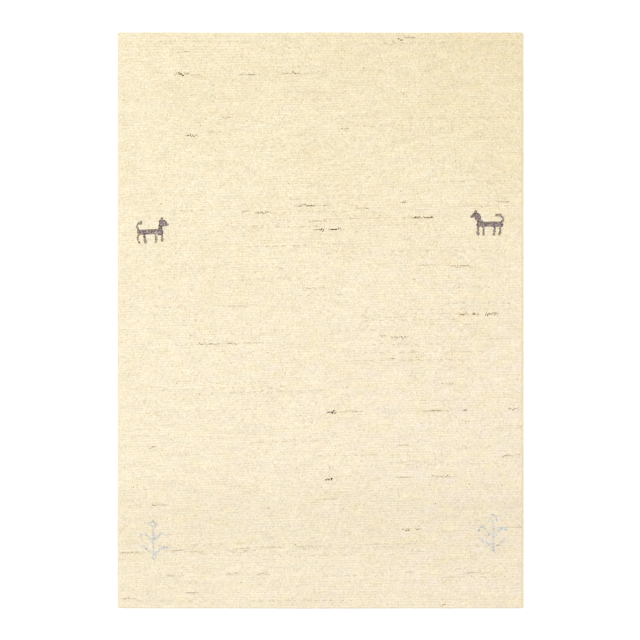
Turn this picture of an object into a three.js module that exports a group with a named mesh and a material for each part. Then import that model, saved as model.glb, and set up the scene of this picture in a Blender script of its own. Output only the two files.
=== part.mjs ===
// Gabbeh rug: a hand-knotted wool rug of nominal 170 by 240 cm, lying flat on its woven underside.
// Millimetres, +Z up. X is the rug's width, Y its length, and the origin is the middle of its underside.

import * as THREE from 'three';
import { mergeVertices } from 'three/addons/utils/BufferGeometryUtils.js';

// Driving dimensions
const RUG_WIDTH = 1695; // over both selvedges
const RUG_LENGTH = 2400; // over the pile at both ends
const RUG_HEIGHT = 14; // woven ground and pile together
const GROUND_HEIGHT = 3; // warps, wefts and the backs of the knots
const SELVEDGE_WIDTH = 8; // the overcast cord along each long side
const SELVEDGE_HEIGHT = 7;
const SELVEDGE_FOOT = 3; // width of the cord's flat underside
const SELVEDGE_SHORTER = 3; // each end of the cord stops this far inside the pile's end
const PIECE_GAP = 0.3; // between the cord and the woven ground
const PILE_SPLAY = 2.4; // how far the pile leans out past the woven ground
const CORNER_RADIUS = 9;

// Unevenness of hand weaving
const SIDE_WANDER = 0.6; // how far a long side wanders inwards
const END_WANDER = 0.7;
const FOOT_BOW = 1.6; // the foot end bows out in its middle by this much
const PILE_RISE = 0.45; // slow highs and lows of the clipped pile

// Faces along each direction
const FACES_ACROSS = 22;
const FACES_ALONG = 30;
const CORD_STEPS = 24;
const CORD_ARC_FACES = 6;
const RIM_CROWDING = 0.9; // 0 spaces the faces evenly, 1 crowds them fully at the rim

// Sizes that follow from these
const GROUND_HALF_WIDTH = RUG_WIDTH / 2 - SELVEDGE_WIDTH - PIECE_GAP;
const GROUND_HALF_LENGTH = RUG_LENGTH / 2 - PILE_SPLAY;

// The field's rim from the floor up: how high each line runs, and how far out from the ground's edge.
const RIM_LINES = [
  { up: 0, out: -0.8 },
  { up: 0.9, out: 0 },
  { up: GROUND_HEIGHT, out: 0 },
  { up: 7.4, out: 0.9 },
  { up: 10.4, out: PILE_SPLAY },
  { up: 12.5, out: 1.3 },
  { up: 13.4, out: -1.2 },
];
const TOP_LINE = RIM_LINES.length - 1;

// The top rounds over from the last rim line to the pile's full height within this distance.
const SHOULDER_WIDTH = 16;

// Woven fields are never quite straight. Each wander is zero in the middle and only goes inwards.
function sideWander(side, y) {
  const turns = side < 0 ? 2.6 : 3.4;
  return -SIDE_WANDER * Math.sin((turns * Math.PI * y) / RUG_LENGTH) ** 2;
}

function endWander(end, x) {
  const ripple = END_WANDER * Math.sin((2.3 * Math.PI * x) / RUG_WIDTH) ** 2;
  const bow = end < 0 ? FOOT_BOW * ((2 * x) / RUG_WIDTH) ** 2 : 0;
  return -ripple - bow;
}

// Where a line of faces lies, as a share of the half size, for lines counted evenly from the middle.
function crowded(share) {
  const along = Math.abs(share);
  return Math.sign(share) * (along + (RIM_CROWDING * Math.sin(Math.PI * along)) / Math.PI);
}

// The corners are rounded by drawing each point near one in towards the corner's centre.
function roundCorner(point, reachX, reachY) {
  const beyondX = Math.abs(point.x) - (reachX - CORNER_RADIUS);
  const beyondY = Math.abs(point.y) - (reachY - CORNER_RADIUS);
  if (beyondX <= 0 || beyondY <= 0) return;
  const draw = Math.max(beyondX, beyondY) / Math.hypot(beyondX, beyondY);
  point.x = Math.sign(point.x) * (reachX - CORNER_RADIUS + beyondX * draw);
  point.y = Math.sign(point.y) * (reachY - CORNER_RADIUS + beyondY * draw);
}

// How high the clipped pile stands at a place on the top, which lies inset from the rim.
function pileHeight(x, y, inset) {
  const shoulder = Math.min(inset / SHOULDER_WIDTH, 1);
  const rim = RIM_LINES[TOP_LINE].up;
  const rounded = rim + (RUG_HEIGHT - rim) * Math.sin((shoulder * Math.PI) / 2);
  const broad = Math.sin(x / 210 + 0.6) * Math.cos(y / 270 - 0.9);
  const narrow = 0.5 * Math.sin(x / 95 + y / 130 + 2.1);
  return rounded + PILE_RISE * shoulder * (broad + narrow);
}

// One closed solid, without repeated corners.
function closedBody(geometry) {
  geometry.deleteAttribute('normal');
  geometry.deleteAttribute('uv');
  const body = mergeVertices(geometry, 1e-4);
  body.computeVertexNormals();
  return body;
}

// The knotted field: ground and pile in one solid. A unit block whose points are moved to the rug's form.
function makeFieldGeometry() {
  const block = new THREE.BoxGeometry(2, 2, 1, FACES_ACROSS, FACES_ALONG, TOP_LINE);
  const places = block.attributes.position;
  const point = new THREE.Vector3();
  for (let i = 0; i < places.count; i += 1) {
    point.fromBufferAttribute(places, i);
    const line = RIM_LINES[Math.round((point.z + 0.5) * TOP_LINE)];
    const reachX = GROUND_HALF_WIDTH + line.out;
    const reachY = GROUND_HALF_LENGTH + line.out;
    const shareX = crowded(point.x);
    const shareY = crowded(point.y);
    point.set(reachX * shareX, reachY * shareY, line.up);
    const inset = Math.min(reachX - Math.abs(point.x), reachY - Math.abs(point.y));
    roundCorner(point, reachX, reachY);
    if (line === RIM_LINES[TOP_LINE]) point.z = pileHeight(point.x, point.y, inset);
    const wanderX = sideWander(Math.sign(shareX), point.y) * shareX;
    const wanderY = endWander(Math.sign(shareY), point.x) * shareY;
    places.setXYZ(i, point.x + wanderX, point.y + wanderY, point.z);
  }
  return closedBody(block);
}

// The section of an overcast cord: an ellipse cut off flat where it lies on the floor.
function makeCordSection() {
  const halfWidth = SELVEDGE_WIDTH / 2;
  const footAngle = Math.acos(SELVEDGE_FOOT / SELVEDGE_WIDTH);
  const halfHeight = SELVEDGE_HEIGHT / (1 + Math.sin(footAngle));
  const section = new THREE.Shape();
  section.absellipse(
    0,
    SELVEDGE_HEIGHT - halfHeight,
    halfWidth,
    halfHeight,
    -footAngle,
    Math.PI + footAngle,
    false,
  );
  section.closePath();
  return section;
}

// A cord runs along a long side and follows the side's wander. side is -1 at left and 1 at right.
function makeSelvedgeGeometry(side) {
  const halfLength = RUG_LENGTH / 2 - SELVEDGE_SHORTER;
  const cord = new THREE.ExtrudeGeometry(makeCordSection(), {
    depth: 2 * halfLength,
    steps: CORD_STEPS,
    curveSegments: CORD_ARC_FACES,
    bevelEnabled: false,
  });
  cord.rotateX(Math.PI / 2);
  cord.translate(side * (RUG_WIDTH - SELVEDGE_WIDTH) / 2, halfLength, 0);
  const places = cord.attributes.position;
  for (let i = 0; i < places.count; i += 1) {
    places.setX(i, places.getX(i) + side * sideWander(side, places.getY(i)));
  }
  return closedBody(cord);
}

const pileWool = new THREE.MeshStandardMaterial({ color: 0xf1e4c6, roughness: 0.95, metalness: 0 });
const selvedgeWool = new THREE.MeshStandardMaterial({ color: 0xe9dcbd, roughness: 0.9, metalness: 0 });

function makePart(name, geometry, material) {
  const part = new THREE.Mesh(geometry, material);
  part.name = name;
  return part;
}

const rug = new THREE.Group();
rug.add(makePart('field', makeFieldGeometry(), pileWool));
rug.add(makePart('selvedge_left', makeSelvedgeGeometry(-1), selvedgeWool));
rug.add(makePart('selvedge_right', makeSelvedgeGeometry(1), selvedgeWool));

export default rug;
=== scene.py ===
import math
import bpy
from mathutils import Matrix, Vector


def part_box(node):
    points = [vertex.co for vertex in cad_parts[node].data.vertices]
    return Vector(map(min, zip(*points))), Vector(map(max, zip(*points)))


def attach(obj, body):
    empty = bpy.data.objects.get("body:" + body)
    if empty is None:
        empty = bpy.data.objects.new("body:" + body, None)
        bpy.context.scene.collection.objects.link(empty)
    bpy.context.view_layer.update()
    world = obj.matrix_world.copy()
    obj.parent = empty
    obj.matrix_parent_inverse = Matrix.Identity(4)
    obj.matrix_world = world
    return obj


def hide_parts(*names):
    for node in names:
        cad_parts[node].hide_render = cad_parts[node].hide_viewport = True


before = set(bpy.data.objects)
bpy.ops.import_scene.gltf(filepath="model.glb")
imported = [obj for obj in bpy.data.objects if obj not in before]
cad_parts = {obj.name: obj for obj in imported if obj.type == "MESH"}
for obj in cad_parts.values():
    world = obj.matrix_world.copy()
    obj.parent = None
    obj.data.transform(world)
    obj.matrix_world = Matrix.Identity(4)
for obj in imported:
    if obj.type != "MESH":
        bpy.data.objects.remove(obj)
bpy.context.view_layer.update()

from types import SimpleNamespace

import bpy
import numpy as np
from mathutils import Vector

# Looks of a hand-knotted gabbeh rug: clipped pile in rows, tufts at the rim, wound side cords, woven
# underside, two animals, two trees and flecks of darker wool. Sizes are millimetres until a mesh is made.
MM = 0.001

# The rug's form, as its solids have it
PILE_SPLAY = 2.4
PIECE_GAP = 0.3
SELVEDGE_WIDTH = 8.0
SELVEDGE_HEIGHT = 7.0
SELVEDGE_FOOT = 3.0
SIDE_WANDER = 0.6
LEFT_TURNS = 2.6
RIGHT_TURNS = 3.4
END_WANDER = 0.7
END_TURNS = 2.3
FOOT_BOW = 1.6
PILE_RISE = 0.45
PILE_HEIGHT = 14.0
GROUND_HEIGHT = 3.0
SHOULDER_WIDTH = 16.0

# The corners are a little squarer than those of the solids.
CORNER_RADIUS = 4.0

field_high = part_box("field")[1]
HALF_WIDTH = field_high.x / MM - PILE_SPLAY
HALF_LENGTH = field_high.y / MM - PILE_SPLAY
RUG_WIDTH = 2 * (HALF_WIDTH + PIECE_GAP + SELVEDGE_WIDTH)
RUG_LENGTH = 2 * (HALF_LENGTH + PILE_SPLAY)
CORD_HALF_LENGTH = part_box("selvedge_left")[1].y / MM

# Rims, from the flat middle outwards: how high each line runs, and how far out from the ground's edge
PILE_RIM = (
    {"up": 13.4, "out": -1.2},
    {"up": 12.5, "out": 1.3},
    {"up": 10.4, "out": 2.4},
    {"up": 7.4, "out": 0.9},
    {"up": GROUND_HEIGHT, "out": 0.0},
)
GROUND_RIM = (
    {"up": 0.0, "out": -0.8},
    {"up": 0.9, "out": 0.0},
    {"up": GROUND_HEIGHT, "out": 0.0},
)
RIM_TOP = PILE_RIM[0]["up"]
PILE_HALF_WIDTH = HALF_WIDTH + PILE_RIM[0]["out"]
PILE_HALF_LENGTH = HALF_LENGTH + PILE_RIM[0]["out"]
RIM_STEP = 4.0  # between the rim's lines where the cloth is drawn flat

# Knots. Two rows of knots lie between heavier wefts, which show as a deeper line.
KNOT_ROWS = 450
KNOT_WIDTH = 4.2
ROW_PITCH = 2 * PILE_HALF_LENGTH / KNOT_ROWS

# The rows rise to the right and flatten out there. They run level at the ends.
ROW_RISE = 0.0227
ROW_ARCH = 0.0197
ROW_CALM = 190.0

SEED = 41


def side_wander(side, y):
    turns = np.where(side < 0, LEFT_TURNS, RIGHT_TURNS)
    return -SIDE_WANDER * np.sin(turns * np.pi * y / RUG_LENGTH) ** 2


def end_wander(end, x):
    ripple = END_WANDER * np.sin(END_TURNS * np.pi * x / RUG_WIDTH) ** 2
    bow = np.where(end < 0, FOOT_BOW * (2 * x / RUG_WIDTH) ** 2, 0)
    return -ripple - bow


def pile_height(x, y, inset):
    shoulder = np.clip(inset / SHOULDER_WIDTH, 0, 1)
    rounded = RIM_TOP + (PILE_HEIGHT - RIM_TOP) * np.sin(shoulder * np.pi / 2)
    broad = np.sin(x / 210 + 0.6) * np.cos(y / 270 - 0.9)
    narrow = 0.5 * np.sin(x / 95 + y / 130 + 2.1)
    return rounded + PILE_RISE * shoulder * (broad + narrow)


def rounded_corner(x, y, reach_x, reach_y):
    """Draws places near a corner in towards the corner's centre."""
    beyond_x = np.abs(x) - (reach_x - CORNER_RADIUS)
    beyond_y = np.abs(y) - (reach_y - CORNER_RADIUS)
    near = (beyond_x > 0) & (beyond_y > 0)
    longest = np.maximum(beyond_x, beyond_y)
    draw = np.where(near, 1 - longest / np.maximum(np.hypot(beyond_x, beyond_y), 1e-6), 0)
    return x - np.sign(x) * beyond_x * draw, y - np.sign(y) * beyond_y * draw


def wandered(x, y):
    """Moves places as the hand-woven edges wander."""
    moved_x = x + side_wander(np.sign(x), y) * x / HALF_WIDTH
    moved_y = y + end_wander(np.sign(y), x) * y / HALF_LENGTH
    return moved_x, moved_y


def eased(share):
    """A share from 0 to 1 that sets off and arrives slowly."""
    return share * share * (3 - 2 * share)


def row_drift(x, y):
    """How far the rows lie above a level line at a place."""
    share = x / HALF_WIDTH
    drift = HALF_WIDTH * (ROW_RISE * share - ROW_ARCH * (share**2 - 1 / 3) / 2)
    to_end = np.clip((HALF_LENGTH - np.abs(y)) / ROW_CALM, 0, 1)
    return drift * eased(to_end)


def slow_noise(rng, x, y, cell):
    """Smooth noise from -1 to 1 over places, on a square grid of random values."""
    columns = int(RUG_WIDTH / cell) + 4
    rows = int(RUG_LENGTH / cell) + 4
    values = rng.uniform(-1, 1, (rows, columns))
    across = (x + RUG_WIDTH / 2) / cell + 1
    along = (y + RUG_LENGTH / 2) / cell + 1
    column = np.clip(np.floor(across).astype(int), 0, columns - 2)
    row = np.clip(np.floor(along).astype(int), 0, rows - 2)
    u = eased(np.clip(across - column, 0, 1))
    v = eased(np.clip(along - row, 0, 1))
    low = values[row, column] * (1 - u) + values[row, column + 1] * u
    high = values[row + 1, column] * (1 - u) + values[row + 1, column + 1] * u
    return low * (1 - v) + high * v


def add_object(name, data):
    made = bpy.data.objects.new(name, data)
    bpy.context.scene.collection.objects.link(made)
    return made


def store(rows, key, values, kind=np.float32):
    rows.foreach_set(key, values.astype(kind).ravel())


def make_mesh(name, points, loops, sizes, uv, **attributes):
    """A mesh object from arrays: points in millimetres, faces as corner indices and corner counts."""
    mesh = bpy.data.meshes.new(name)
    mesh.vertices.add(len(points))
    store(mesh.vertices, "co", points * MM)
    mesh.loops.add(len(loops))
    store(mesh.loops, "vertex_index", loops, np.int32)
    mesh.polygons.add(len(sizes))
    store(mesh.polygons, "loop_start", np.cumsum(sizes) - sizes, np.int32)
    store(mesh.polygons, "loop_total", sizes, np.int32)
    store(mesh.polygons, "use_smooth", np.ones(len(sizes)), bool)
    mesh.update(calc_edges=True)
    store(mesh.uv_layers.new(name="OFBake").data, "uv", uv)
    for attribute, values in attributes.items():
        kind, part = ("FLOAT_VECTOR", "vector") if values.ndim == 2 else ("FLOAT", "value")
        store(mesh.attributes.new(attribute, kind, "POINT").data, part, values)
    return add_object(name, mesh)


def stacked(*parts):
    """Arrays that are spread to one shape and joined as the parts of each place."""
    return np.stack(np.broadcast_arrays(*parts), axis=-1)


def grid_quads(lines, columns):
    """Corner indices of the quads of a grid of points, stored line by line, facing up."""
    start = np.arange(lines - 1)[:, None] * columns + np.arange(columns - 1)[None, :]
    return stacked(start, start + 1, start + columns + 1, start + columns).reshape(-1)


def circle(sides):
    """Even angles round a circle."""
    return np.linspace(0, 2 * np.pi, sides, endpoint=False)


def quad_sizes(loops):
    """A corner count of four for each quad."""
    return np.full(len(loops) // 4, 4)


def as_shares(places):
    """Places along a line as shares of the way from the lowest to the highest."""
    return (places - places.min()) / (places.max() - places.min())


def rim_lines(half, count, rim_count):
    """Even lines from -half to half, with the rim's lines beyond: which end, rim level and flat place."""
    beyond = np.arange(1, rim_count + 1)
    level = np.concatenate((beyond[::-1], np.zeros(count + 1, int), beyond))
    far = half + RIM_STEP * beyond
    flat = np.concatenate((-far[::-1], np.linspace(-half, half, count + 1), far))
    return np.sign(flat) * (level > 0), level, flat


def rimmed_grid(columns, lines, rim):
    """A grid of places over the whole rug, whose outer lines run down its rim."""
    grid = SimpleNamespace()
    up = np.array([spot["up"] for spot in rim])
    out = np.array([spot["out"] for spot in rim])
    half_x = HALF_WIDTH + out[0]
    half_y = HALF_LENGTH + out[0]
    across = rim_lines(half_x, columns, len(rim) - 1)
    along = rim_lines(half_y, lines, len(rim) - 1)
    grid.side, grid.level_x, grid.flat_x = (part[None, :] for part in across)
    grid.end, grid.level_y, grid.flat_y = (part[:, None] for part in along)
    grid.level = np.maximum(grid.level_x, grid.level_y)
    grid.rim_up = up[grid.level]
    grid.reach_x = HALF_WIDTH + out[grid.level]
    grid.reach_y = HALF_LENGTH + out[grid.level]
    outward = (out[grid.level] - out[0]) / np.maximum(grid.level, 1)
    grid.x = np.where(grid.level_x > 0, grid.side * (half_x + outward * grid.level_x), grid.flat_x)
    grid.y = np.where(grid.level_y > 0, grid.end * (half_y + outward * grid.level_y), grid.flat_y)
    return grid


# Clipped pile

PILE_BANDS = ("pile_foot", "pile_middle", "pile_head")
PILE_COLUMNS = 304
LINES_PER_PAIR = 4  # a crest and a valley for each of two knot rows
PILE_LINES = KNOT_ROWS * LINES_PER_PAIR // 2
LINE_RELIEF = (-1.2, 0.3, -0.4, 0.25)
NAP_LEAN = 0.35
CALM_EDGE = 1.0  # no relief this close to the top's edge
KNOT_STAGGER = 0.25  # crests are set off from valleys by this share of a column, either way
KNOT_JITTER = 0.18
ROW_JITTER = 0.16
CREST_ROUGHNESS = 0.28
VALLEY_ROUGHNESS = 0.2
ROUGHNESS_LIMIT = 0.6
SLOW_RELIEF = ({"cell": 60.0, "depth": 0.3}, {"cell": 17.0, "depth": 0.1})
RIM_SHAG = (-0.9, 0.3)  # how far in or out the rim's lines are pushed at random


def make_pile():
    """The pile's surface. Each knot row has a crest, and a valley on either side of it."""
    rng = np.random.default_rng(SEED)
    grid = rimmed_grid(PILE_COLUMNS, PILE_LINES, PILE_RIM)
    shape = grid.level.shape
    within_x = np.abs(grid.x) < PILE_HALF_WIDTH - CALM_EDGE
    inner = (grid.level == 0) & within_x & (np.abs(grid.y) < PILE_HALF_LENGTH - CALM_EDGE)
    line = np.arange(shape[0])[:, None] - (len(PILE_RIM) - 1)
    is_crest = line % 2 == 1
    stagger = np.where(is_crest, KNOT_STAGGER, -KNOT_STAGGER) + rng.uniform(-KNOT_JITTER, KNOT_JITTER, shape)
    x = grid.x + inner * 2 * PILE_HALF_WIDTH / PILE_COLUMNS * stagger
    y = grid.y + row_drift(x, grid.y) * (grid.level_y == 0)
    shift = rng.uniform(-ROW_JITTER, ROW_JITTER, shape) * 2 * PILE_HALF_LENGTH / PILE_LINES
    y += inner * (shift - np.where(is_crest, NAP_LEAN, 0))
    inset = np.minimum(grid.reach_x - np.abs(x), grid.reach_y - np.abs(y))
    rough = np.where(is_crest, CREST_ROUGHNESS, VALLEY_ROUGHNESS) * rng.normal(0, 1, shape)
    relief = np.array(LINE_RELIEF)[line % LINES_PER_PAIR] + np.clip(rough, -ROUGHNESS_LIMIT, ROUGHNESS_LIMIT)
    for slow in SLOW_RELIEF:
        relief += slow["depth"] * slow_noise(rng, x, y, slow["cell"])
    z = np.where(grid.level > 0, grid.rim_up, pile_height(x, y, inset) + inner * relief)
    shaggy = (grid.level > 0) & (grid.level < len(PILE_RIM) - 1)
    x += shaggy * (grid.level_y == 0) * grid.side * rng.uniform(*RIM_SHAG, shape)
    y += shaggy * (grid.level_x == 0) * grid.end * rng.uniform(*RIM_SHAG, shape)
    x, y = wandered(*rounded_corner(x, y, grid.reach_x, grid.reach_y))
    return pile_bands(grid, stacked(x, y, z), stacked(np.where(inner, x, grid.flat_x), grid.flat_y, z))


def pile_bands(grid, points, knots):
    """The pile's surface in bands that share their edges."""
    rows, columns = grid.level.shape
    shares = np.arange(1, len(PILE_BANDS)) / len(PILE_BANDS)
    edges = [0, *np.round(len(PILE_RIM) - 1 + PILE_LINES * shares).astype(int), rows - 1]
    pieces = []
    for name, first, last in zip(PILE_BANDS, edges, edges[1:]):
        band = slice(first, last + 1)
        loops = grid_quads(last + 1 - first, columns)
        uv = stacked(as_shares(grid.flat_x), as_shares(grid.flat_y[band])).reshape(-1, 2)[loops]
        places = knots[band].reshape(-1, 3)
        corners = points[band].reshape(-1, 3)
        pieces.append(make_mesh(name, corners, loops, quad_sizes(loops), uv, knot_place=places))
    return pieces


# Woven ground

HEM_WIDTH = 28.0
HEM_HEIGHT = 1.0
HEM_EASE = 50.0
GROUND_COLUMNS = 30
GROUND_LINES = KNOT_ROWS * 2
GROUND_LIFT = 0.02  # the lowest yarn is this far above the floor
BACK_RELIEF = 0.4
HEM_BACK_SHARE = 0.4  # the backs of the knots are flatter on the turned-in hem
YARN_ROUGHNESS = 0.08
UNDERSIDE_UV = 0.94  # share of the texture that the underside takes up, with the top in a strip above it
TOP_UV = 0.05


def make_ground():
    """The closed woven ground. Its underside has the knots' backs in rows, and turned-in hems."""
    rng = np.random.default_rng(SEED + 1)
    grid = rimmed_grid(GROUND_COLUMNS, GROUND_LINES, GROUND_RIM)
    rows, columns = grid.level.shape
    y = grid.y + row_drift(grid.x, grid.y) * (grid.level_y == 0)
    to_end = HALF_LENGTH - np.abs(y)
    in_hem = to_end < HEM_WIDTH
    ease = np.clip((to_end - HEM_WIDTH) / HEM_EASE, 0, 1)
    step = np.where(in_hem, 0, HEM_HEIGHT * (1 - ease) ** 2)
    backs = np.where(np.arange(rows)[:, None] % 2 == 0, BACK_RELIEF, 0)
    backs = backs * np.where(in_hem, HEM_BACK_SHARE, 1)
    z = GROUND_LIFT + step + backs + YARN_ROUGHNESS * rng.uniform(0, 1, grid.level.shape)
    z = np.where(grid.level > 0, grid.rim_up, z)
    x, y = wandered(*rounded_corner(grid.x, y, grid.reach_x, grid.reach_y))
    points = stacked(x, y, z).reshape(-1, 3)
    tray = grid_quads(rows, columns).reshape(-1, 4)[:, ::-1].reshape(-1)
    top, top_sizes = ground_top(rows, columns)
    loops = np.concatenate((tray, top))
    sizes = np.concatenate((quad_sizes(tray), top_sizes))
    uv = stacked(as_shares(grid.flat_x), as_shares(grid.flat_y)).reshape(-1, 2)[loops]
    uv[: len(tray)] *= (1, UNDERSIDE_UV)
    uv[len(tray) :] = uv[len(tray) :] * (1, TOP_UV) + (0, 1 - TOP_UV)
    places = stacked(grid.flat_x, grid.flat_y, 0.0).reshape(-1, 3)
    return make_mesh("ground", points, loops, sizes, uv, knot_place=places)


def ground_top(rows, columns):
    """Faces that close the ground above: strips from side to side, and a face at each end."""
    left = np.arange(1, rows - 1) * columns
    right = left + columns - 1
    strips = stacked(left[:-1], right[:-1], right[1:], left[1:]).reshape(-1)
    foot_row = np.arange(columns)
    head_row = (rows - 1) * columns + np.arange(columns)
    foot_cap = np.concatenate((foot_row, [right[0], left[0]]))
    head_cap = np.concatenate(([left[-1], right[-1]], head_row[::-1]))
    sizes = np.concatenate((quad_sizes(strips), [len(foot_cap), len(head_cap)]))
    return np.concatenate((strips, foot_cap, head_cap)), sizes


# Side cords

WRAP_PITCH = 4.0
RINGS_PER_WRAP = 4
CORD_SIDES = 10
CORD_TURN = 0.2  # angle of a ring's first corner
WRAP_RELIEF = 0.16
WRAP_THICKNESS = (-0.05, 0.03)  # how much thinner or thicker a wrap may be than most
CORD_FULLNESS = 1.1
CORD_OUT = 0.5
CORD_LONGER = 2.0
CORD_TIP = 0.55  # its thickness at the very ends
CORD_TAPER = 3.0  # it thickens inwards by its full thickness for each such length
CORD_LIFT = 0.03  # the lowest yarn is this far above the floor
CORD_UV_COLUMNS = 12
CORD_UV_MARGIN = 0.03
CAP_UV_RADIUS = 0.01


def make_selvedge(name, side):
    """Wool yarn wound closely round the outer warps: an ellipse with slanted ridges, flat where it lies."""
    rng = np.random.default_rng(SEED + 2 + side)
    half_length = CORD_HALF_LENGTH + CORD_LONGER
    wraps = int(2 * half_length / WRAP_PITCH)
    rings = wraps * RINGS_PER_WRAP + 1
    along = np.linspace(-half_length, half_length, rings)[:, None]
    angle = circle(CORD_SIDES)[None, :] + CORD_TURN
    foot_angle = math.acos(SELVEDGE_FOOT / SELVEDGE_WIDTH)
    half_height = SELVEDGE_HEIGHT / (1 + math.sin(foot_angle))
    phase = np.arange(rings)[:, None] / RINGS_PER_WRAP + side * angle / (2 * np.pi)
    thick = np.repeat(rng.uniform(*WRAP_THICKNESS, wraps + 1), RINGS_PER_WRAP)[:rings, None]
    swell = CORD_FULLNESS + thick - WRAP_RELIEF * np.cos(np.pi * phase) ** 2
    swell = swell * np.clip((half_length - np.abs(along)) / CORD_TAPER + CORD_TIP, 0, 1)
    middle = HALF_WIDTH + PIECE_GAP + SELVEDGE_WIDTH / 2 + CORD_OUT + side_wander(side, along)
    x = side * middle + SELVEDGE_WIDTH / 2 * np.cos(angle) * swell
    z = SELVEDGE_HEIGHT - half_height + half_height * np.sin(angle) * swell
    points = stacked(x, along, np.maximum(z, CORD_LIFT)).reshape(-1, 3)
    loops, sizes = cord_faces(rings)
    uv = np.concatenate((cord_uv(rings), cap_uv(0.0), cap_uv(0.5)))
    places = stacked(angle * SELVEDGE_WIDTH / 2, along, phase).reshape(-1, 3)
    return make_mesh(name, points, loops, sizes, uv, knot_place=places)


def cord_faces(rings):
    """Corner indices and counts of the cord's wall and of the caps at its two ends."""
    ring = np.arange(rings - 1)[:, None] * CORD_SIDES
    here = np.arange(CORD_SIDES)
    after = (here + 1) % CORD_SIDES
    next_ring = ring + CORD_SIDES
    wall = stacked(ring + here, next_ring + here, next_ring + after, ring + after).reshape(-1)
    last_cap = (rings - 1) * CORD_SIDES + here[::-1]
    sizes = np.concatenate((quad_sizes(wall), [CORD_SIDES, CORD_SIDES]))
    return np.concatenate((wall, here, last_cap)), sizes


def cord_uv(rings):
    """The cord's wall unrolled and folded into columns that lie side by side."""
    per_column = -(-(rings - 1) // CORD_UV_COLUMNS)
    ring = np.arange(rings - 1)
    column = (ring // per_column)[:, None]
    low = (ring % per_column)[:, None] / per_column
    high = low + 1 / per_column
    here = np.arange(CORD_SIDES)[None, :] / CORD_SIDES
    after = here + 1 / CORD_SIDES
    placed = []
    for u, v in ((here, low), (here, high), (after, high), (after, low)):
        flat_u = (column + CORD_UV_MARGIN + (1 - 2 * CORD_UV_MARGIN) * u) / CORD_UV_COLUMNS
        placed.append(stacked(flat_u, v * (1 - CORD_UV_MARGIN)))
    return np.stack(placed, axis=2).reshape(-1, 2)


def cap_uv(start):
    """A small circle in the strip above the columns."""
    angle = circle(CORD_SIDES)
    u = start + CAP_UV_RADIUS * (2 + np.cos(angle))
    return stacked(u, 1 - CORD_UV_MARGIN / 2 + CAP_UV_RADIUS * np.sin(angle))


# Tufts

TUFT_IN_UV = 0.46  # how far a tuft reaches in its own square of the texture


def tuft_faces(levels, sides):
    """Corner indices and counts of one tuft's faces: rings joined by quads, and a fan up to the tip."""
    here = np.arange(sides)
    after = (here + 1) % sides
    low = np.arange(levels - 1)[:, None] * sides
    high = low + sides
    quads = stacked(low + here, low + after, high + after, high + here).reshape(-1)
    top = (levels - 1) * sides
    fan = stacked(top + here, top + after, levels * sides).reshape(-1)
    return np.concatenate((quads, fan)), np.concatenate((quad_sizes(quads), np.full(sides, 3)))


def make_tufts(name, rings, tips, shade):
    """Many small closed-over tufts in one mesh. rings is (tufts, rings, sides, 3) and tips is (tufts, 3)."""
    count, levels, sides, _ = rings.shape
    each = levels * sides + 1
    points = np.concatenate((rings.reshape(count, -1, 3), tips[:, None, :]), axis=1).reshape(-1, 3)
    pattern, pattern_sizes = tuft_faces(levels, sides)
    loops = (np.arange(count)[:, None] * each + pattern[None, :]).reshape(-1)
    radius = np.append(np.repeat(np.linspace(1, 1 / levels, levels), sides), 0.0)
    angle = np.append(np.tile(circle(sides), levels), 0.0)
    local = TUFT_IN_UV * stacked(radius * np.cos(angle), radius * np.sin(angle))[pattern]
    cells = math.ceil(math.sqrt(count))
    cell = stacked(np.arange(count) % cells, np.arange(count) // cells)
    uv = ((cell[:, None, :] + 0.5 + local[None, :, :]) / cells).reshape(-1, 2)
    sizes = np.tile(pattern_sizes, count)
    return make_mesh(name, points, loops, sizes, uv, knot_place=points, wool_shade=np.repeat(shade, each))


# Tufts at the rim: a diamond in section that bends outwards, and how unlike each other they are
TUFT_WIDTH = 4.6
TUFT_DEPTH = 3.0
TUFT_RINGS = ({"share": 0.0, "fat": 0.9}, {"share": 0.72, "fat": 1.0})
TUFT_BEND = 0.8
TUFT_TILT = 0.35
TUFT_POINT = {"out": 0.2, "up": 0.5}
TUFT_ROWS = 0.75  # knot rows for each tuft along a side
TUFT_SHIFT = 0.25
TUFT_LEAN = 0.9
TUFT_REACH = (-0.6, 0.5)
TUFT_RISE = (-0.5, 0.3)

# Each layer of tufts along an edge: heights and outward places of its roots and tips
END_LAYERS = (
    {"root_up": 3.6, "root_out": -1.2, "tip_up": 6.9, "tip_out": 1.1},
    {"root_up": 5.0, "root_out": -1.0, "tip_up": 9.9, "tip_out": 2.3},
    {"root_up": 7.5, "root_out": -1.2, "tip_up": 12.7, "tip_out": 1.7},
)
SIDE_LAYERS = (
    {"root_up": 7.2, "root_out": -1.2, "tip_up": 9.8, "tip_out": 2.0},
    {"root_up": 8.2, "root_out": -1.0, "tip_up": 11.6, "tip_out": 2.2},
    {"root_up": 9.4, "root_out": -1.4, "tip_up": 13.0, "tip_out": 1.1},
)


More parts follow.
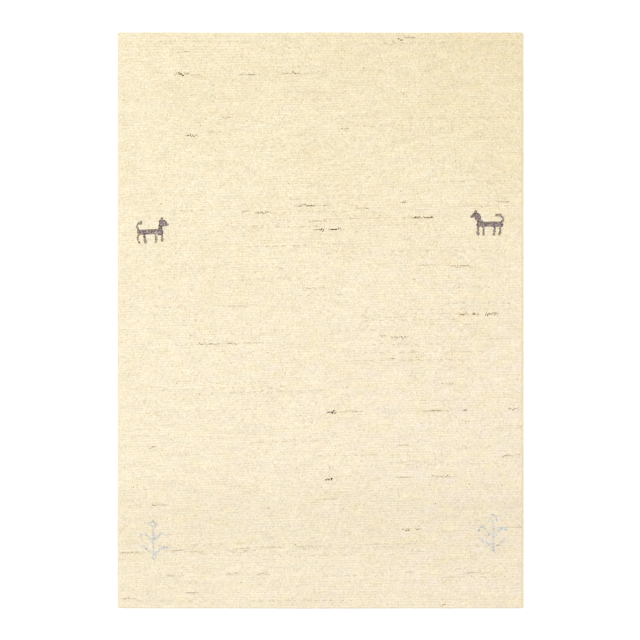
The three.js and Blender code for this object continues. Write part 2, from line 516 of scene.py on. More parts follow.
def edge_tufts(rng, layer, along_x, sign):
    """Rings and tips of one layer of leaning tufts along one edge."""
    half = (HALF_WIDTH if along_x else HALF_LENGTH) - TUFT_WIDTH / 2
    pitch = KNOT_WIDTH if along_x else ROW_PITCH * TUFT_ROWS
    count = int(2 * half / pitch)
    along = np.linspace(-half, half, count) + rng.uniform(-TUFT_SHIFT, TUFT_SHIFT, count) * pitch
    along = np.clip(along, -half, half)
    lean = np.clip(along + rng.normal(0, TUFT_LEAN, count), -half, half) - along
    tip_out = layer["tip_out"] + rng.uniform(*TUFT_REACH, count)
    tip_up = layer["tip_up"] + rng.uniform(*TUFT_RISE, count)
    width = TUFT_WIDTH / 2 * np.array((-1, 0, 1, 0))
    depth = TUFT_DEPTH / 2 * np.array((0, -1, 0, 1))
    rings = []
    for ring in TUFT_RINGS:
        share, fat = ring["share"], ring["fat"]
        out = layer["root_out"] + (tip_out - layer["root_out"]) * share**TUFT_BEND
        up = layer["root_up"] + (tip_up - layer["root_up"]) * share
        ring_along = (along + lean * share)[:, None] + fat * width
        ring_out = out[:, None] - TUFT_TILT * fat * depth
        rings.append(edge_points(ring_along, ring_out, up[:, None] + fat * depth, along_x, sign))
    tip = (tip_out + TUFT_POINT["out"], tip_up + TUFT_POINT["up"])
    return np.stack(rings, axis=1), edge_points(along + lean, *tip, along_x, sign)


def edge_points(along, out, up, along_x, sign):
    """Places from distances along and out from an edge, with the corners rounded and the edges' wander."""
    reach_x = HALF_WIDTH + out
    reach_y = HALF_LENGTH + out
    x, y = (along, sign * reach_y) if along_x else (sign * reach_x, along)
    x = np.clip(x, -reach_x, reach_x)
    y = np.clip(y, -reach_y, reach_y)
    return stacked(*wandered(*rounded_corner(x, y, reach_x, reach_y)), up)


def make_rim():
    """Tufts in layers along all four edges."""
    rng = np.random.default_rng(SEED + 5)
    rings = []
    tips = []
    for along_x, layers in ((True, END_LAYERS), (False, SIDE_LAYERS)):
        for sign in (-1, 1):
            for layer in layers:
                ring, tip = edge_tufts(rng, layer, along_x, sign)
                rings.append(ring[:, :, ::-1] if (sign > 0) == along_x else ring)
                tips.append(tip)
    tips = np.concatenate(tips)
    return make_tufts("pile_rim", np.concatenate(rings), tips, rng.uniform(0, 1, len(tips)))


KNOT_SIDES = 7
KNOT_RINGS = ({"down": 2.4, "scale": 1.0}, {"down": 0.55, "scale": 0.98}, {"down": 0.05, "scale": 0.6})

# Knots of other wool: how far they stand above the pile, and how much of their cell they fill
FIGURE_KNOTS = {"proud": 0.75, "across": 1.16, "along": 1.12}
FLECK_KNOTS = {"proud": 0.6, "across": 1.15, "along": 0.8}
DARKER_LONGER = 0.35  # the darkest knots of a fleck are longer by this share of a cell

# How unlike each other they are: in height, across, along, in place, round a ring and at the tip
KNOT_HEIGHT = 0.12
KNOT_ACROSS = (0.98, 1.14)
KNOT_ALONG = (0.92, 1.04)
KNOT_SHIFT = 0.3
RING_UNEVEN = 0.08
TIP_DROP = 0.15


def knot_tufts(name, knots, shade, rng, fill, longer=0.0):
    """Clipped knots of other wool at the places of knots, a little prouder than the pile round them."""
    count = len(knots)
    x, y = knots.T
    inset = np.minimum(HALF_WIDTH - np.abs(x), HALF_LENGTH - np.abs(y))
    height = pile_height(x, y, inset) + fill["proud"] + rng.uniform(-KNOT_HEIGHT, KNOT_HEIGHT, count)
    angle = rng.uniform(0, 2 * np.pi, count)[:, None] + circle(KNOT_SIDES)
    half_x = 0.5 * fill["across"] * KNOT_WIDTH * rng.uniform(*KNOT_ACROSS, count)
    half_y = 0.5 * (fill["along"] + longer) * ROW_PITCH * rng.uniform(*KNOT_ALONG, count)
    x = x + rng.uniform(-KNOT_SHIFT, KNOT_SHIFT, count)
    y = y + rng.uniform(-KNOT_SHIFT, KNOT_SHIFT, count)
    rings = []
    for ring in KNOT_RINGS:
        ring_x = x[:, None] + ring["scale"] * half_x[:, None] * np.cos(angle)
        ring_y = y[:, None] + ring["scale"] * half_y[:, None] * np.sin(angle)
        uneven = rng.uniform(-RING_UNEVEN, RING_UNEVEN, (count, KNOT_SIDES))
        rings.append(stacked(ring_x, ring_y, (height - ring["down"])[:, None] + uneven))
    tips = stacked(x, y, height - rng.uniform(0, TIP_DROP, count))
    return make_tufts(name, np.stack(rings, axis=1), tips, shade)


def knot_spots(columns, rows):
    """The middles of knots by column and row. Rows are laid like bricks and follow the weaving's drift."""
    x = (columns + 0.5 * (rows % 2)) * KNOT_WIDTH
    y = (rows + 0.5) * ROW_PITCH
    return stacked(x, y + row_drift(x, y))


def all_knots():
    """The middles of all knots of the rug."""
    columns_out = round(HALF_WIDTH / KNOT_WIDTH)
    rows_out = KNOT_ROWS // 2
    columns = np.arange(-columns_out, columns_out)
    return knot_spots(*np.meshgrid(columns, np.arange(-rows_out, rows_out))).reshape(-1, 2)


# Each wool of a figure covers a stretch of its material's tones.
FIGURE_WOOLS = {"brown": (0.0, 0.70), "olive": (0.78, 1.0)}
PLANT_WOOLS = {"grey": (0.2, 0.45), "rose": (0.45, 0.7), "blue": (0.75, 1.0)}

# The animals and the trees, each as a few strokes of one wool. A stroke's points are x, y and width.
# spread is how far a stroke reaches past its width, outer_mix how light its outermost knots may be, and
# speckle the share of knots that may have any tone of the figure.
ANIMAL_LEFT = {
    "place": (-702, 369),
    "fill": {"spread": 0.0, "outer_mix": 0.6, "speckle": 0.16},
    "strokes": (
        ("brown", (-56, 9, 9), (-61, 18, 9), (-62, 28, 9)),
        ("olive", (-61, 29, 9), (-56, 37, 9)),
        ("olive", (-52, 34, 13), (-46, 38, 13)),
        ("brown", (-49, -1, 24), (36, 0, 24)),
        ("brown", (33, 6, 17), (35, 26, 16)),
        ("brown", (37, 40, 20), (46, 40, 22), (53, 37, 18)),
        ("brown", (52, 37, 16), (64, 31, 10)),
        ("brown", (40, 31, 13), (62, 30, 9)),
        ("brown", (41, 48, 13), (42, 57, 7)),
        ("olive", (-55, -10, 9), (-59, -24, 8), (-58, -38, 8), (-52, -47, 9)),
        ("brown", (-32, -10, 9), (-30, -30, 9)),
        ("olive", (-29, -32, 9), (-27, -45, 12)),
        ("olive", (17, -10, 8), (18, -26, 10), (16, -44, 8)),
        ("brown", (42, 8, 9), (42, -22, 9)),
        ("olive", (42, -24, 9), (43, -37, 11)),
    ),
}
ANIMAL_RIGHT = {
    "place": (707, 400),
    "fill": {"spread": 0.0, "outer_mix": 0.45, "speckle": 0.16},
    "strokes": (
        ("brown", (46, 8, 9), (53, 17, 8), (55, 26, 8), (48, 32, 9)),
        ("olive", (42, 37, 13), (28, 39, 15)),
        ("brown", (-44, 1, 25), (42, 1, 24)),
        ("brown", (-54, 26, 19), (-37, 8, 18)),
        ("brown", (-60, 38, 27), (-51, 33, 26)),
        ("brown", (-66, 33, 17), (-79, 31, 11)),
        ("brown", (-60, 46, 14), (-61, 55, 7)),
        ("brown", (-51, -3, 9), (-51, -28, 9)),
        ("olive", (-51, -30, 9), (-51, -41, 12)),
        ("brown", (-28, -8, 9), (-28, -26, 8)),
        ("olive", (-28, -28, 8), (-28, -41, 9)),
        ("brown", (18, -8, 9), (18, -28, 9)),
        ("olive", (17, -30, 9), (15, -41, 12)),
        ("brown", (42, -8, 9), (42, -28, 9)),
        ("olive", (41, -30, 9), (39, -41, 12)),
    ),
}
TREE_LEFT = {
    "place": (-696, -923),
    "fill": {"spread": 0.3, "outer_mix": 0.9, "speckle": 0.45},
    "strokes": (
        ("grey", (0, 60, 7), (0, -72, 7)),
        ("grey", (2, 62, 7), (14, 75, 6), (-2, 87, 5), (-18, 78, 7), (-2, 62, 6)),
        ("rose", (-22, 78, 8), (-12, 75, 9)),
        ("grey", (0, 4, 8), (-26, 26, 6)),
        ("rose", (-32, 34, 9), (-56, 25, 9)),
        ("grey", (0, 4, 8), (28, 31, 6), (35, 36, 9)),
        ("rose", (45, 32, 9), (57, 27, 7)),
        ("grey", (0, -48, 8), (-24, -35, 6)),
        ("rose", (-28, -25, 9), (-52, -17, 7)),
        ("grey", (0, -48, 8), (24, -37, 6), (30, -25, 8)),
        ("rose", (31, -23, 11), (58, -22, 11)),
        ("blue", (5, 24, 9), (-2, 4, 14)),
        ("rose", (0, -6, 7), (0, -40, 7)),
        ("rose", (-1, -48, 12), (6, -56, 13)),
    ),
}
TREE_RIGHT = {
    "place": (718, -891),
    "fill": {"spread": 0.3, "outer_mix": 0.9, "speckle": 0.45},
    "strokes": (
        ("grey", (1, 52, 7), (1, -60, 7), (4, -76, 7)),
        ("blue", (0, 52, 6), (-15, 60, 7), (-4, 79, 8), (14, 76, 7)),
        ("rose", (16, 66, 6), (18, 54, 6)),
        ("grey", (-14, 2, 7), (-26, 18, 7), (-38, 30, 8), (-52, 31, 8), (-61, 16, 7)),
        ("grey", (12, 2, 7), (22, 13, 6)),
        ("blue", (27, 24, 11), (55, 22, 11)),
        ("blue", (-19, 1, 8), (13, -1, 9)),
        ("blue", (0, -50, 8), (-34, -31, 9)),
        ("rose", (-41, -29, 10), (-53, -19, 9)),
        ("grey", (0, -56, 6), (18, -46, 6), (32, -32, 7), (50, -22, 9)),
        ("rose", (1, 42, 7), (1, 10, 7)),
        ("rose", (1, -12, 7), (0, -42, 7)),
    ),
}


INNER_MIX = 1.2  # how light a figure's innermost knots may be


def stroke_depth(knots, start, end):
    """How deep each knot lies in a tapering stroke: 1 on its middle line, 0 at its edge, less outside."""
    base = np.array(start[:2], float)
    along = np.array(end[:2], float) - base
    share = np.clip((knots - base) @ along / (along @ along), 0, 1)
    nearest = base + share[:, None] * along
    width = start[2] + (end[2] - start[2]) * share
    return 1 - np.hypot(*(knots - nearest).T) / (width / 2)


def make_figure(name, figure, wools, seed):
    """A figure in knots of other wool."""
    rng = np.random.default_rng(seed)
    spread, outer_mix, speckle = (figure["fill"][key] for key in ("spread", "outer_mix", "speckle"))
    knots = all_knots()
    local = knots - figure["place"]
    deepest = np.full(len(knots), -1.0)
    wool_range = np.zeros((len(knots), 2))
    for wool, *points in figure["strokes"]:
        for start, end in zip(points, points[1:]):
            depth = stroke_depth(local, start, end)
            wool_range[depth > -spread] = wools[wool]
            deepest = np.maximum(deepest, depth)
    inside = deepest > -spread
    inner = np.clip(deepest[inside], 0, 1)
    low, high = wool_range[inside].T
    lightest = outer_mix + (INNER_MIX - outer_mix) * inner
    tone = low + (high - low) * np.clip(rng.uniform(0, 1, len(inner)) * lightest, 0, 1)
    speckled = rng.uniform(0, 1, len(tone)) < speckle
    tone = np.where(speckled, rng.uniform(0, 1, len(tone)), tone)
    return knot_tufts(name, knots[inside], tone, rng, FIGURE_KNOTS)


# The flecks of darker wool that stand out: left end, y, length and darkness of each.
FLECKS = (
    (325, 1170, 20, 0.75),
    (350, 1180, 45, 0.7),
    (-590, 1122, 40, 0.4),
    (410, 1040, 50, 0.5),
    (-70, 1033, 95, 0.35),
    (-165, 1030, 80, 0.65),
    (-610, 1023, 65, 1.0),
    (-540, 1022, 40, 0.5),
    (-345, 1023, 80, 0.45),
    (-405, 845, 28, 0.6),
    (85, 800, 35, 0.55),
    (-470, 783, 60, 0.3),
    (-565, 774, 60, 0.8),
    (-713, 555, 14, 0.55),
    (735, 495, 55, 0.45),
    (335, 490, 20, 0.8),
    (-110, 477, 115, 0.75),
    (10, 477, 40, 0.55),
    (145, 465, 60, 0.5),
    (-328, 453, 35, 0.5),
    (-272, 453, 72, 0.7),
    (380, 430, 95, 0.8),
    (-50, 413, 80, 0.45),
    (-30, 377, 45, 0.85),
    (35, 377, 60, 0.7),
    (405, 230, 90, 0.4),
    (540, 230, 110, 0.4),
    (-75, 135, 120, 0.35),
    (580, 24, 40, 0.85),
    (630, 24, 35, 0.95),
    (685, 24, 60, 0.95),
    (250, -65, 20, 0.6),
    (290, -67, 75, 0.7),
    (-510, -99, 35, 0.45),
    (-475, -99, 60, 0.55),
    (-390, -95, 50, 0.5),
    (-325, -92, 90, 0.35),
    (290, -160, 20, 0.65),
    (505, -263, 60, 0.4),
    (27, -381, 42, 1.0),
    (80, -378, 95, 0.55),
    (430, -374, 110, 0.5),
    (598, -372, 14, 0.6),
    (782, -367, 55, 0.5),
    (320, -520, 55, 0.35),
    (-710, -527, 35, 0.75),
    (754, -566, 36, 0.85),
    (795, -566, 40, 0.45),
    (23, -658, 30, 1.0),
    (310, -655, 68, 0.4),
    (462, -652, 80, 0.5),
    (-20, -744, 95, 0.3),
    (-705, -768, 75, 0.45),
    (770, -861, 70, 0.35),
    (340, -873, 34, 0.8),
    (400, -870, 26, 0.55),
    (223, -930, 14, 0.55),
    (-110, -944, 160, 0.2),
    (-270, -949, 120, 0.25),
    (-365, -949, 75, 0.4),
    (-650, -957, 90, 0.35),
    (-545, -961, 60, 0.45),
    (-835, -964, 110, 0.4),
    (355, -1047, 34, 0.4),
    (600, -1050, 105, 0.3),
    (-270, -1057, 60, 0.4),
    (-390, -1055, 55, 0.3),
    (-640, -1062, 75, 0.3),
    (-560, -1131, 55, 0.5),
    (-825, -1160, 60, 0.4),
    (500, -1184, 20, 0.6),
)
FLECK_DARKNESS = 0.88
STRAY_SHARE = 0.2  # of a fleck's knots, those that lie in the next row

# A fleck's tone in patches, as shares of its darkness. Darker flecks are more even.
PATCH_KNOTS = 3
PATCH_PALEST = -0.1
PATCH_EVENNESS = 0.5
PATCH_DARKEST = 1.25
KNOT_TONES = (0.6, 1.35)

# Its ends are paler: how dark they are, and how soon it is fully dark
END_TONE = 0.5
END_SLOPE = 4

# Where it is two rows thick: from which darkness on, in how many knots, and in which tone
THICK_FROM = 0.7
THICK_SHARE = 1.2
THICK_TONE = 0.85


def fleck_knots(rng, left, y, length, darkness):
    """One fleck: a row of knots in patchy tones, with a few strays, here and there two rows thick."""
    row = round((y - row_drift(left + length / 2, y)) / ROW_PITCH - 0.5)
    first = round(left / KNOT_WIDTH)
    columns = np.arange(first, first + max(2, round(length / KNOT_WIDTH)))
    count = len(columns)
    palest = PATCH_EVENNESS * darkness + PATCH_PALEST
    patches = rng.uniform(palest, PATCH_DARKEST, count // PATCH_KNOTS + 2)
    tones = np.interp(np.arange(count) / PATCH_KNOTS, np.arange(len(patches)), patches)
    tones *= rng.uniform(*KNOT_TONES, count)
    share = (np.arange(count) + 0.5) / count
    tones *= np.clip(END_TONE + END_SLOPE * np.minimum(share, 1 - share), 0, 1)
    tones *= FLECK_DARKNESS * darkness
    thick = rng.uniform(0, 1, count) < THICK_SHARE * (darkness - THICK_FROM)
    strays = (rng.uniform(0, 1, count) < STRAY_SHARE) * rng.choice((-1, 1))
    rows = np.concatenate((row + strays, np.full(thick.sum(), row + rng.choice((-1, 1)))))
    spots = knot_spots(np.concatenate((columns, columns[thick])), rows)
    return spots, np.concatenate((tones, THICK_TONE * tones[thick]))


# Broken lines of faint flecks, and single specks
FAINT_RUNS = 90
RUN_START = {"left": 20, "right": 120}  # least distance of a run's start from each side
RUN_END = 12  # and of its end from the right side
RUN_SPAN = 0.98  # share of the rug's length that has them
RUN_DARKNESS = (0.08, 0.27)
RUN_FLECKS = (2, 15)
RUN_LENGTHS = (6, 28)
RUN_GAPS = (5, 32)
SPECKS = 380
SPECK_SPAN = 0.49  # how far they reach from the rug's middle, as a share of its width and length
SPECK_PALEST = 0.12
SPECK_DARKER = 0.45


def faint_run(rng):
    """A broken line of faint flecks along one row."""
    left = rng.uniform(RUN_START["left"] - HALF_WIDTH, HALF_WIDTH - RUN_START["right"])
    level = rng.uniform(-RUN_SPAN, RUN_SPAN) * HALF_LENGTH
    darkness = rng.uniform(*RUN_DARKNESS)
    made = []
    for _ in range(rng.integers(*RUN_FLECKS)):
        length = rng.uniform(*RUN_LENGTHS)
        if left + length > HALF_WIDTH - RUN_END:
            break
        y = level + row_drift(left + length / 2, level)
        made.append(fleck_knots(rng, left, y, length, darkness))
        left += length + rng.uniform(*RUN_GAPS)
    return [np.concatenate(parts) for parts in zip(*made)]


def lone_specks(rng):
    """Single knots of mostly faint wool, scattered over the rug."""
    columns = np.floor(rng.uniform(-SPECK_SPAN, SPECK_SPAN, SPECKS) * 2 * HALF_WIDTH / KNOT_WIDTH)
    rows = np.floor(rng.uniform(-SPECK_SPAN, SPECK_SPAN, SPECKS) * KNOT_ROWS)
    return knot_spots(columns, rows), SPECK_PALEST + SPECK_DARKER * rng.uniform(0, 1, SPECKS) ** 3


def make_flecks():
    """Rows of darker knots that stand out, fainter broken lines of them, and single specks."""
    rng = np.random.default_rng(SEED + 9)
    made = [fleck_knots(rng, *fleck) for fleck in FLECKS]
    made += [faint_run(rng) for _ in range(FAINT_RUNS)]
    made.append(lone_specks(rng))
    knots, tones = (np.concatenate(parts) for parts in zip(*made))
    shades = np.clip(tones, 0, 1)
    return knot_tufts("flecks", knots, shades, rng, FLECK_KNOTS, DARKER_LONGER * shades)


# Materials

def put(kind, inputs, **settings):
    """Adds a node beside those that its inputs come from, and gives its inputs values or links."""
    links = {key: value for key, value in inputs.items() if isinstance(value, bpy.types.NodeSocket)}
    tree = next(iter(links.values())).id_data
    node = tree.nodes.new("ShaderNode" + kind)
    for name, value in settings.items():
        setattr(node, name, value)
    for key, value in inputs.items():
        if key in links:
            tree.links.new(value, node.inputs[key])
        else:
            node.inputs[key].default_value = value
    return node


def maths(operation, first, second=0.0):
    return put("Math", {0: first, 1: second}, operation=operation).outputs[0]


def product(first, *others):
    for other in others:
        first = maths("MULTIPLY", first, other)
    return first


def ramped(value, low, high, low_value=0.0, high_value=1.0):
    return put("MapRange", {"Value": value, 1: low, 2: high, 3: low_value, 4: high_value}).outputs[0]


def mixed(factor, first, second):
    return put("Mix", {0: factor, 6: first, 7: second}, data_type="RGBA").outputs[2]


def multiplied(first, second):
    """A colour or a place times another, part by part, or times one light."""
    return put("VectorMath", {0: first, 1: second}, operation="MULTIPLY").outputs[0]


def stretched(vector, size):
    """The place in units of size: a width, a length and, where it counts, a height."""
    return multiplied(vector, tuple(1 / length for length in (*size, math.inf)[:3]))


def noise(vector, size, detail=2.0):
    return put("TexNoise", {0: stretched(vector, size), "Scale": 1.0, "Detail": detail}).outputs["Fac"]


def patchy(vector, size, low=0.0, high=1.0, detail=2.0, spread=0.25):
    """Noise in patches of a size that runs from low to high. A smaller spread makes the patches harder."""
    return ramped(noise(vector, size, detail), 0.5 - spread, 0.5 + spread, low, high)


def read_attribute(material, name, output):
    node = material.node_tree.nodes.new("ShaderNodeAttribute")
    node.attribute_name = name
    return node.outputs[output]


def new_material(name, values):
    """A material and its shader, which gets values by the names of its inputs."""
    material = bpy.data.materials.new(name)
    material.use_nodes = True
    shader = material.node_tree.nodes["Principled BSDF"]
    for key, value in values.items():
        shader.inputs[key].default_value = value
    return material, shader


WOOL_GLOSS = {"Specular IOR Level": 0.12, "Sheen Roughness": 0.6}

# Each wool's sheen, the size of its fibres, its roughness, which runs with them, and its relief's depth
PILE_FINISH = {"sheen": 0.12, "fibre": (0.9, 1.3, 2.2), "roughness": (0.88, 1.0), "relief": 0.8}
GROUND_FINISH = {"sheen": 0.05, "fibre": (1.6, 0.8), "roughness": (0.86, 0.98), "relief": 0.7}
SELVEDGE_FINISH = {"sheen": 0.1, "fibre": (4.0, 0.5, 0.4), "roughness": (0.85, 0.97), "relief": 0.35}
DYED_FINISH = {"sheen": 0.08, "fibre": (1.1, 1.1, 2.0), "roughness": (0.88, 1.0), "relief": 0.5}


def new_wool(name, finish):
    """A dull fibre material, the place of its knots in millimetres, and its fibres."""
    wool = SimpleNamespace(finish=finish)
    wool.material, wool.shader = new_material(name, {**WOOL_GLOSS, "Sheen Weight": finish["sheen"]})
    wool.place = read_attribute(wool.material, "knot_place", "Vector")
    wool.fibre = noise(wool.place, finish["fibre"], detail=3.0)
    return wool


def finish_wool(wool, colour, height):
    """Joins colour, roughness and relief to the shader."""
    relief = {"Strength": 1.0, "Distance": wool.finish["relief"] * MM, "Height": height}
    roughness = ramped(wool.fibre, 0.3, 0.7, *wool.finish["roughness"])
    joined = {"Base Color": colour, "Roughness": roughness, "Normal": put("Bump", relief).outputs[0]}
    for name, value in joined.items():
        wool.material.node_tree.links.new(value, wool.shader.inputs[name])
    return wool.material


def knot_cells(place, scatter):
    """Each knot's random value, and the distance from its middle."""
    inputs = {"Vector": stretched(place, (KNOT_WIDTH, ROW_PITCH)), "Scale": 1.0, "Randomness": scatter}
    cells = put("TexVoronoi", inputs, voronoi_dimensions="2D")
    value = put("SeparateColor", {0: cells.outputs["Color"]}).outputs[0]
    return value, cells.outputs["Distance"]


# Ivory wool, and the casts that it is multiplied by in patches
IVORY_LIGHT = (0.812, 0.728, 0.537, 1)
IVORY_DEEP = (0.776, 0.675, 0.462, 1)
IVORY_ROSE = (0.795, 0.7, 0.556, 1)
TAN_FIBRE = (0.5, 0.41, 0.265, 1)
ROSE_CAST = (1.025, 0.986, 1.002, 1)
GREEN_CAST = (0.975, 1.009, 0.988, 1)
YELLOW_CAST = (1.014, 1.003, 0.968, 1)
BLUE_CAST = (0.986, 0.997, 1.032, 1)
DEEP_PATCHES = {"size": (420, 380), "low": -0.3, "high": 0.3, "spread": 0.2}
ROSY_PATCHES = {"size": (90, 60), "low": 0.2, "high": 1.3, "detail": 3.0, "spread": 0.15}
ROSE_GREEN_PATCHES = {"size": (20, 14), "spread": 0.2}
YELLOW_BLUE_PATCHES = {"size": (62, 36), "spread": 0.2}

# Where the ivory turns deeper or rosier, in shares of the rug's length, and how much at each side
DEEPER = {"start": 0.55, "full": 1.0, "left": 0.1, "right": 0.6}
ROSIER = {"start": 0.8, "full": 0.35, "left": 0.45, "right": 0.95}
RIGHT_DEEPER = 0.4

# How strongly red, green and blue fall off where a knot is darker, which makes it warmer
WARM_SHADE = (0.86, 0.93, 1.24)

# Light from knot to knot and of a few much darker knots, and its contrast at foot and head
KNOT_LIGHT = (0.905, 1.075)
DARK_KNOTS = {"share": 0.045, "light": 0.85}
CONTRAST = (0.95, 1.15)
KNOT_SCATTER = 0.55
PILE_STRANDS = 0.5  # how deep the fibres are, beside the roundness of a knot

# Lighter and darker patches of the pile, by the size of a patch
LIGHT_PATCHES = (
    {"size": (44, 4.4), "low": 0.95, "high": 1.045},
    {"size": (230, 5.0), "low": 0.97, "high": 1.03, "detail": 1.0},
    {"size": (3.1, 15), "low": 0.935, "high": 1.06, "detail": 1.0},
    {"size": (85, 40), "low": 0.965, "high": 1.035},
)
# Painted shade in the deep valleys over the heavy wefts: patches of how strong it is
VALLEY_SHADE_PATCHES = {"size": (44, 2 * ROW_PITCH), "high": 0.05, "spread": 0.2}

# Slow bands of light along the rug, with places as shares of its length from the foot
BAND_MIDDLE = 0.33
BAND_TURN = 4.7
BAND_LIGHT = 0.984
BAND_STRENGTH = 0.017
DULL_BATCH = 0.155
DULL_REACH = 0.09
DULL_LIGHT = 0.965

# Where tan fibre shows: the noise above which it starts and is strongest, and how strong it gets
TAN_DASHES = {"size": (26, 4.0), "detail": 2.0, "start": 0.61, "full": 0.76, "most": 0.5}
TAN_LINES = {"size": (150, 4.6), "detail": 1.0, "start": 0.66, "full": 0.76, "most": 1.0}
TAN_GAPS = {"size": (22, 9), "high": 0.5, "spread": 0.08}


def turned(rightward, headward, turn):
    """How far the ivory has turned at a place."""
    across = ramped(rightward, 0.0, 1.0, turn["left"], turn["right"])
    return product(ramped(headward, turn["start"], turn["full"]), across)


def ivory_colour(place, rightward, headward):
    """Undyed ivory: deeper to the head and the right, rosier to the foot, with faint casts in patches."""
    deep = maths("ADD", product(rightward, RIGHT_DEEPER), turned(rightward, headward, DEEPER))
    deep = maths("ADD", deep, patchy(place, **DEEP_PATCHES))
    rosy = product(turned(rightward, headward, ROSIER), patchy(place, **ROSY_PATCHES))
    colour = mixed(rosy, mixed(deep, IVORY_LIGHT, IVORY_DEEP), IVORY_ROSE)
    rose_green = mixed(patchy(place, **ROSE_GREEN_PATCHES), ROSE_CAST, GREEN_CAST)
    yellow_blue = mixed(patchy(place, **YELLOW_BLUE_PATCHES), YELLOW_CAST, BLUE_CAST)
    return multiplied(multiplied(colour, rose_green), yellow_blue)


def painted_valley_shade(place, along):
    """Painted shade: a faint wave, darkest in the deep valley over each heavy weft, where the pile's base
    lies in shade, and a little lighter between. It comes and goes along the rows.
    """
    turn = product(maths("ADD", along, PILE_HALF_LENGTH), math.pi / ROW_PITCH)
    return maths("SUBTRACT", 1.0, product(maths("COSINE", turn), patchy(place, **VALLEY_SHADE_PATCHES)))


def band_light(headward):
    """Slow bands along the rug, and a duller batch of wool near the foot end."""
    turn = product(maths("SUBTRACT", headward, BAND_MIDDLE), BAND_TURN)
    band = maths("ADD", product(maths("COSINE", turn), BAND_STRENGTH), BAND_LIGHT)
    from_dull = maths("ABSOLUTE", maths("SUBTRACT", headward, DULL_BATCH))
    return product(band, ramped(from_dull, DULL_REACH / 3, DULL_REACH, DULL_LIGHT, 1.0))


def pile_light(place, headward, along, knot_value):
    """How light the pile is: by knot, with a few much darker ones, in patches, with painted shade in the
    valleys over the wefts, and in bands.
    """
    knots = ramped(knot_value, 0.0, 1.0, *KNOT_LIGHT)
    dark_knots = ramped(knot_value, 0.0, DARK_KNOTS["share"], DARK_KNOTS["light"], 1.0)
    patches = [patchy(place, **patch) for patch in LIGHT_PATCHES]
    light = product(knots, dark_knots, *patches, painted_valley_shade(place, along), band_light(headward))
    return maths("POWER", light, ramped(headward, 0.0, 1.0, *CONTRAST))


def warm_shaded(colour, light):
    """The colour under a light that turns it warmer where it is darker."""
    shades = {axis: maths("POWER", light, power) for axis, power in enumerate(WARM_SHADE)}
    return multiplied(colour, put("CombineXYZ", shades).outputs[0])


def tan_threads(place):
    """Where tan fibre shows: in short dashes, and in long thin broken lines along the rows."""
    dashes, lines = (
        ramped(noise(place, row["size"], row["detail"]), row["start"], row["full"], 0.0, row["most"])
        for row in (TAN_DASHES, TAN_LINES)
    )
    return maths("MAXIMUM", dashes, product(lines, patchy(place, **TAN_GAPS)))


def pile_wool():
    """Hand-spun ivory wool in clipped knots, with tan fibres spun in here and there."""
    wool = new_wool("pile_wool", PILE_FINISH)
    across, along, _ = put("SeparateXYZ", {0: wool.place}).outputs
    rightward = ramped(across, -HALF_WIDTH, HALF_WIDTH)
    headward = ramped(along, -HALF_LENGTH, HALF_LENGTH)
    knot_value, knot_distance = knot_cells(wool.place, KNOT_SCATTER)
    light = pile_light(wool.place, headward, along, knot_value)
    colour = warm_shaded(ivory_colour(wool.place, rightward, headward), light)
    colour = mixed(tan_threads(wool.place), colour, TAN_FIBRE)
    return finish_wool(wool, colour, maths("SUBTRACT", product(wool.fibre, PILE_STRANDS), knot_distance))


GROUND_IVORY = (0.66, 0.575, 0.41)
BACK_LIGHT = (0.86, 1.08)
BACK_PATCHES = {"size": (150, 5.4), "low": 0.92, "high": 1.06}
BACK_SCATTER = 0.25
BACK_STRANDS = 0.3


def ground_wool():
    """The underside: backs of the knots, each a pair of yarn loops, with the weft between the rows."""
    wool = new_wool("ground_wool", GROUND_FINISH)
    knot_value, knot_distance = knot_cells(wool.place, BACK_SCATTER)
    light = product(ramped(knot_value, 0.0, 1.0, *BACK_LIGHT), patchy(wool.place, **BACK_PATCHES))
    height = maths("SUBTRACT", product(wool.fibre, BACK_STRANDS), knot_distance)
    return finish_wool(wool, multiplied(GROUND_IVORY, light), height)


# The cord's ivory is lighter than the pile's: painted light that makes up for the shade the taller pile
# casts on the lower cord.
SELVEDGE_IVORY_PAINTED_LIGHTER = (0.90, 0.805, 0.63)
WRAP_PATCHES = {"size": (30, WRAP_PITCH * 0.8), "low": 0.9, "high": 1.06, "detail": 1.0}
CORD_PATCHES = {"size": (math.inf, 120), "low": 0.96, "high": 1.03, "spread": 0.2}


def selvedge_wool():
    """Wound yarn: every wrap has its own tone, and its fibres run along the wrap. Its ivory is painted
    lighter against the shade of the pile.
    """
    wool = new_wool("selvedge_wool", SELVEDGE_FINISH)
    light = product(patchy(wool.place, **WRAP_PATCHES), patchy(wool.place, **CORD_PATCHES))
    return finish_wool(wool, multiplied(SELVEDGE_IVORY_PAINTED_LIGHTER, light), wool.fibre)


DYED_LIGHT = (0.88, 1.1)


def dyed_wool(name, tones):
    """Clipped knots of another wool. A knot's own shade picks its colour on a scale of tones."""
    wool = new_wool(name, DYED_FINISH)
    ramp = put("ValToRGB", {0: read_attribute(wool.material, "wool_shade", "Fac")})
    elements = ramp.color_ramp.elements
    elements.remove(elements[0])
    for spot, tone in tones.items():
        element = elements.new(spot) if spot > 0 else elements[0]
        element.position = spot
        element.color = (*tone, 1)
    light = ramped(wool.fibre, 0.25, 0.75, *DYED_LIGHT)
    return finish_wool(wool, multiplied(ramp.outputs[0], light), wool.fibre)


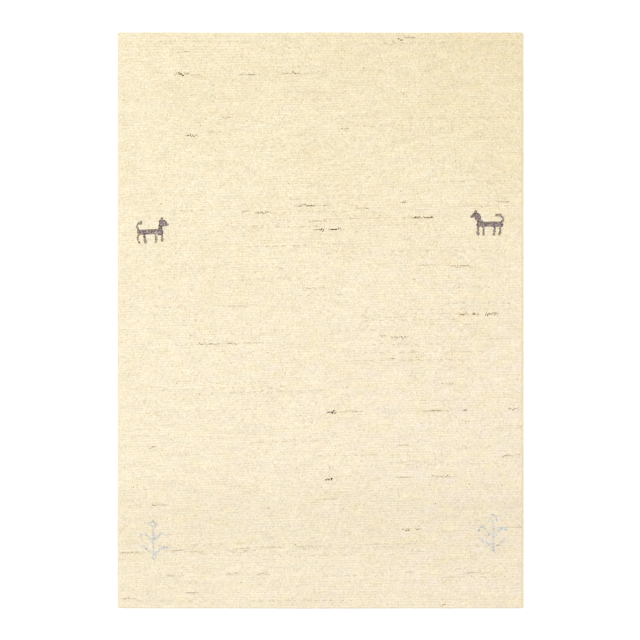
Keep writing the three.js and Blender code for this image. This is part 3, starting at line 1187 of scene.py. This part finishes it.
# Tones of the other wools, by their place on a scale from 0 to 1
FIGURE_TONES = {
    0.0: (0.062, 0.045, 0.041),
    0.35: (0.165, 0.122, 0.124),
    0.7: (0.45, 0.35, 0.388),
    0.78: (0.15, 0.12, 0.085),
    1.0: (0.37, 0.315, 0.235),
}
PLANT_TONES = {
    0.0: (0.3, 0.27, 0.24),
    0.2: (0.5, 0.485, 0.45),
    0.45: (0.71, 0.685, 0.61),
    0.7: (0.68, 0.61, 0.57),
    0.75: (0.49, 0.505, 0.5),
    1.0: (0.78, 0.78, 0.72),
}
FLECK_TONES = {
    0.0: (0.71, 0.625, 0.46),
    0.3: (0.53, 0.415, 0.275),
    0.6: (0.215, 0.147, 0.085),
    0.9: (0.04, 0.022, 0.011),
}
RIM_TONES = {
    0.0: (0.7, 0.61, 0.43),
    0.5: (0.765, 0.67, 0.485),
    1.0: (0.81, 0.72, 0.54),
}


def dress(pieces, material, slot, *nodes):
    """Gives pieces their material, their body and the solids that they stand for. The slot is not used."""
    for piece in pieces:
        piece.data.materials.append(material)
        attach(piece, "root")
        if nodes:
            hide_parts(*nodes)


pile = make_pile()
rim = make_rim()
ground = make_ground()
selvedge_left = make_selvedge("cord_left", -1)
selvedge_right = make_selvedge("cord_right", 1)
animals = [
    make_figure("animal_left", ANIMAL_LEFT, FIGURE_WOOLS, SEED + 20),
    make_figure("animal_right", ANIMAL_RIGHT, FIGURE_WOOLS, SEED + 21),
]
trees = [
    make_figure("tree_left", TREE_LEFT, PLANT_WOOLS, SEED + 22),
    make_figure("tree_right", TREE_RIGHT, PLANT_WOOLS, SEED + 23),
]
flecks = make_flecks()

cord_wool = selvedge_wool()
dress(pile, pile_wool(), "pile_wool", "field")
dress([rim], dyed_wool("rim_wool", RIM_TONES), "pile_wool", "field")
dress([ground], ground_wool(), "ground_wool", "field")
dress([selvedge_left], cord_wool, "selvedge_wool", "selvedge_left")
dress([selvedge_right], cord_wool, "selvedge_wool", "selvedge_right")
dress(animals, dyed_wool("figure_wool", FIGURE_TONES), "figure_wool")
dress(trees, dyed_wool("plant_wool", PLANT_TONES), "plant_wool")
dress([flecks], dyed_wool("fleck_wool", FLECK_TONES), "figure_wool")


# Floor, light and camera. Sizes here are metres.

FLOOR_HALF = 15.0
FLOOR_FINISH = {"Base Color": (0.95, 0.95, 0.95, 1), "Roughness": 0.9, "Specular IOR Level": 0.1}
WORLD_LIGHT = 0.62
AREA_LIGHTS = (
    {"name": "key", "place": (-1.2, 0.9, 14.0), "size": 6.0, "power": 1200.0},
    {"name": "side", "place": (-9.0, 6.0, 6.5), "size": 4.0, "power": 190.0},
)

# The photo's frame, the length that one of its pixels shows, and where the rug's middle lies in it
PHOTO_PIXELS = 640
PIXEL_SIZE = 4.165 * MM
PHOTO_RUG_MIDDLE = (320.45, 320.43)
SENSOR_WIDTH = 36.0
LENS = 135.0


def make_floor():
    mesh = bpy.data.meshes.new("floor")
    corners = [(x * FLOOR_HALF, y * FLOOR_HALF, 0) for x, y in ((-1, -1), (1, -1), (1, 1), (-1, 1))]
    mesh.from_pydata(corners, [], [(0, 1, 2, 3)])
    mesh.materials.append(new_material("floor_white", FLOOR_FINISH)[0])
    add_object("floor", mesh)


def make_area_light(name, place, size, power):
    """A square light that faces the middle of the rug."""
    data = bpy.data.lights.new(name, "AREA")
    data.shape = "SQUARE"
    data.size = size
    data.energy = power
    light = add_object(name, data)
    light.location = place
    light.rotation_euler = (-Vector(place)).to_track_quat("-Z", "Y").to_euler()


def make_world():
    world = bpy.data.worlds.new("studio")
    world.use_nodes = True
    background = world.node_tree.nodes["Background"]
    background.inputs["Color"].default_value = (1, 1, 1, 1)
    background.inputs["Strength"].default_value = WORLD_LIGHT
    bpy.context.scene.world = world


def make_camera():
    """Straight down from above the rug, at the photo's scale and framing."""
    data = bpy.data.cameras.new("camera")
    data.sensor_width = SENSOR_WIDTH
    data.lens = LENS
    distance = PHOTO_PIXELS * PIXEL_SIZE * LENS / SENSOR_WIDTH
    across = (PHOTO_PIXELS / 2 - PHOTO_RUG_MIDDLE[0]) * PIXEL_SIZE
    along = (PHOTO_RUG_MIDDLE[1] - PHOTO_PIXELS / 2) * PIXEL_SIZE
    camera = add_object("camera", data)
    camera.location = (across, along, PILE_HEIGHT * MM + distance)
    bpy.context.scene.camera = camera


make_floor()
make_world()
for area_light in AREA_LIGHTS:
    make_area_light(**area_light)
make_camera()
bpy.context.scene.view_settings.view_transform = "Standard"
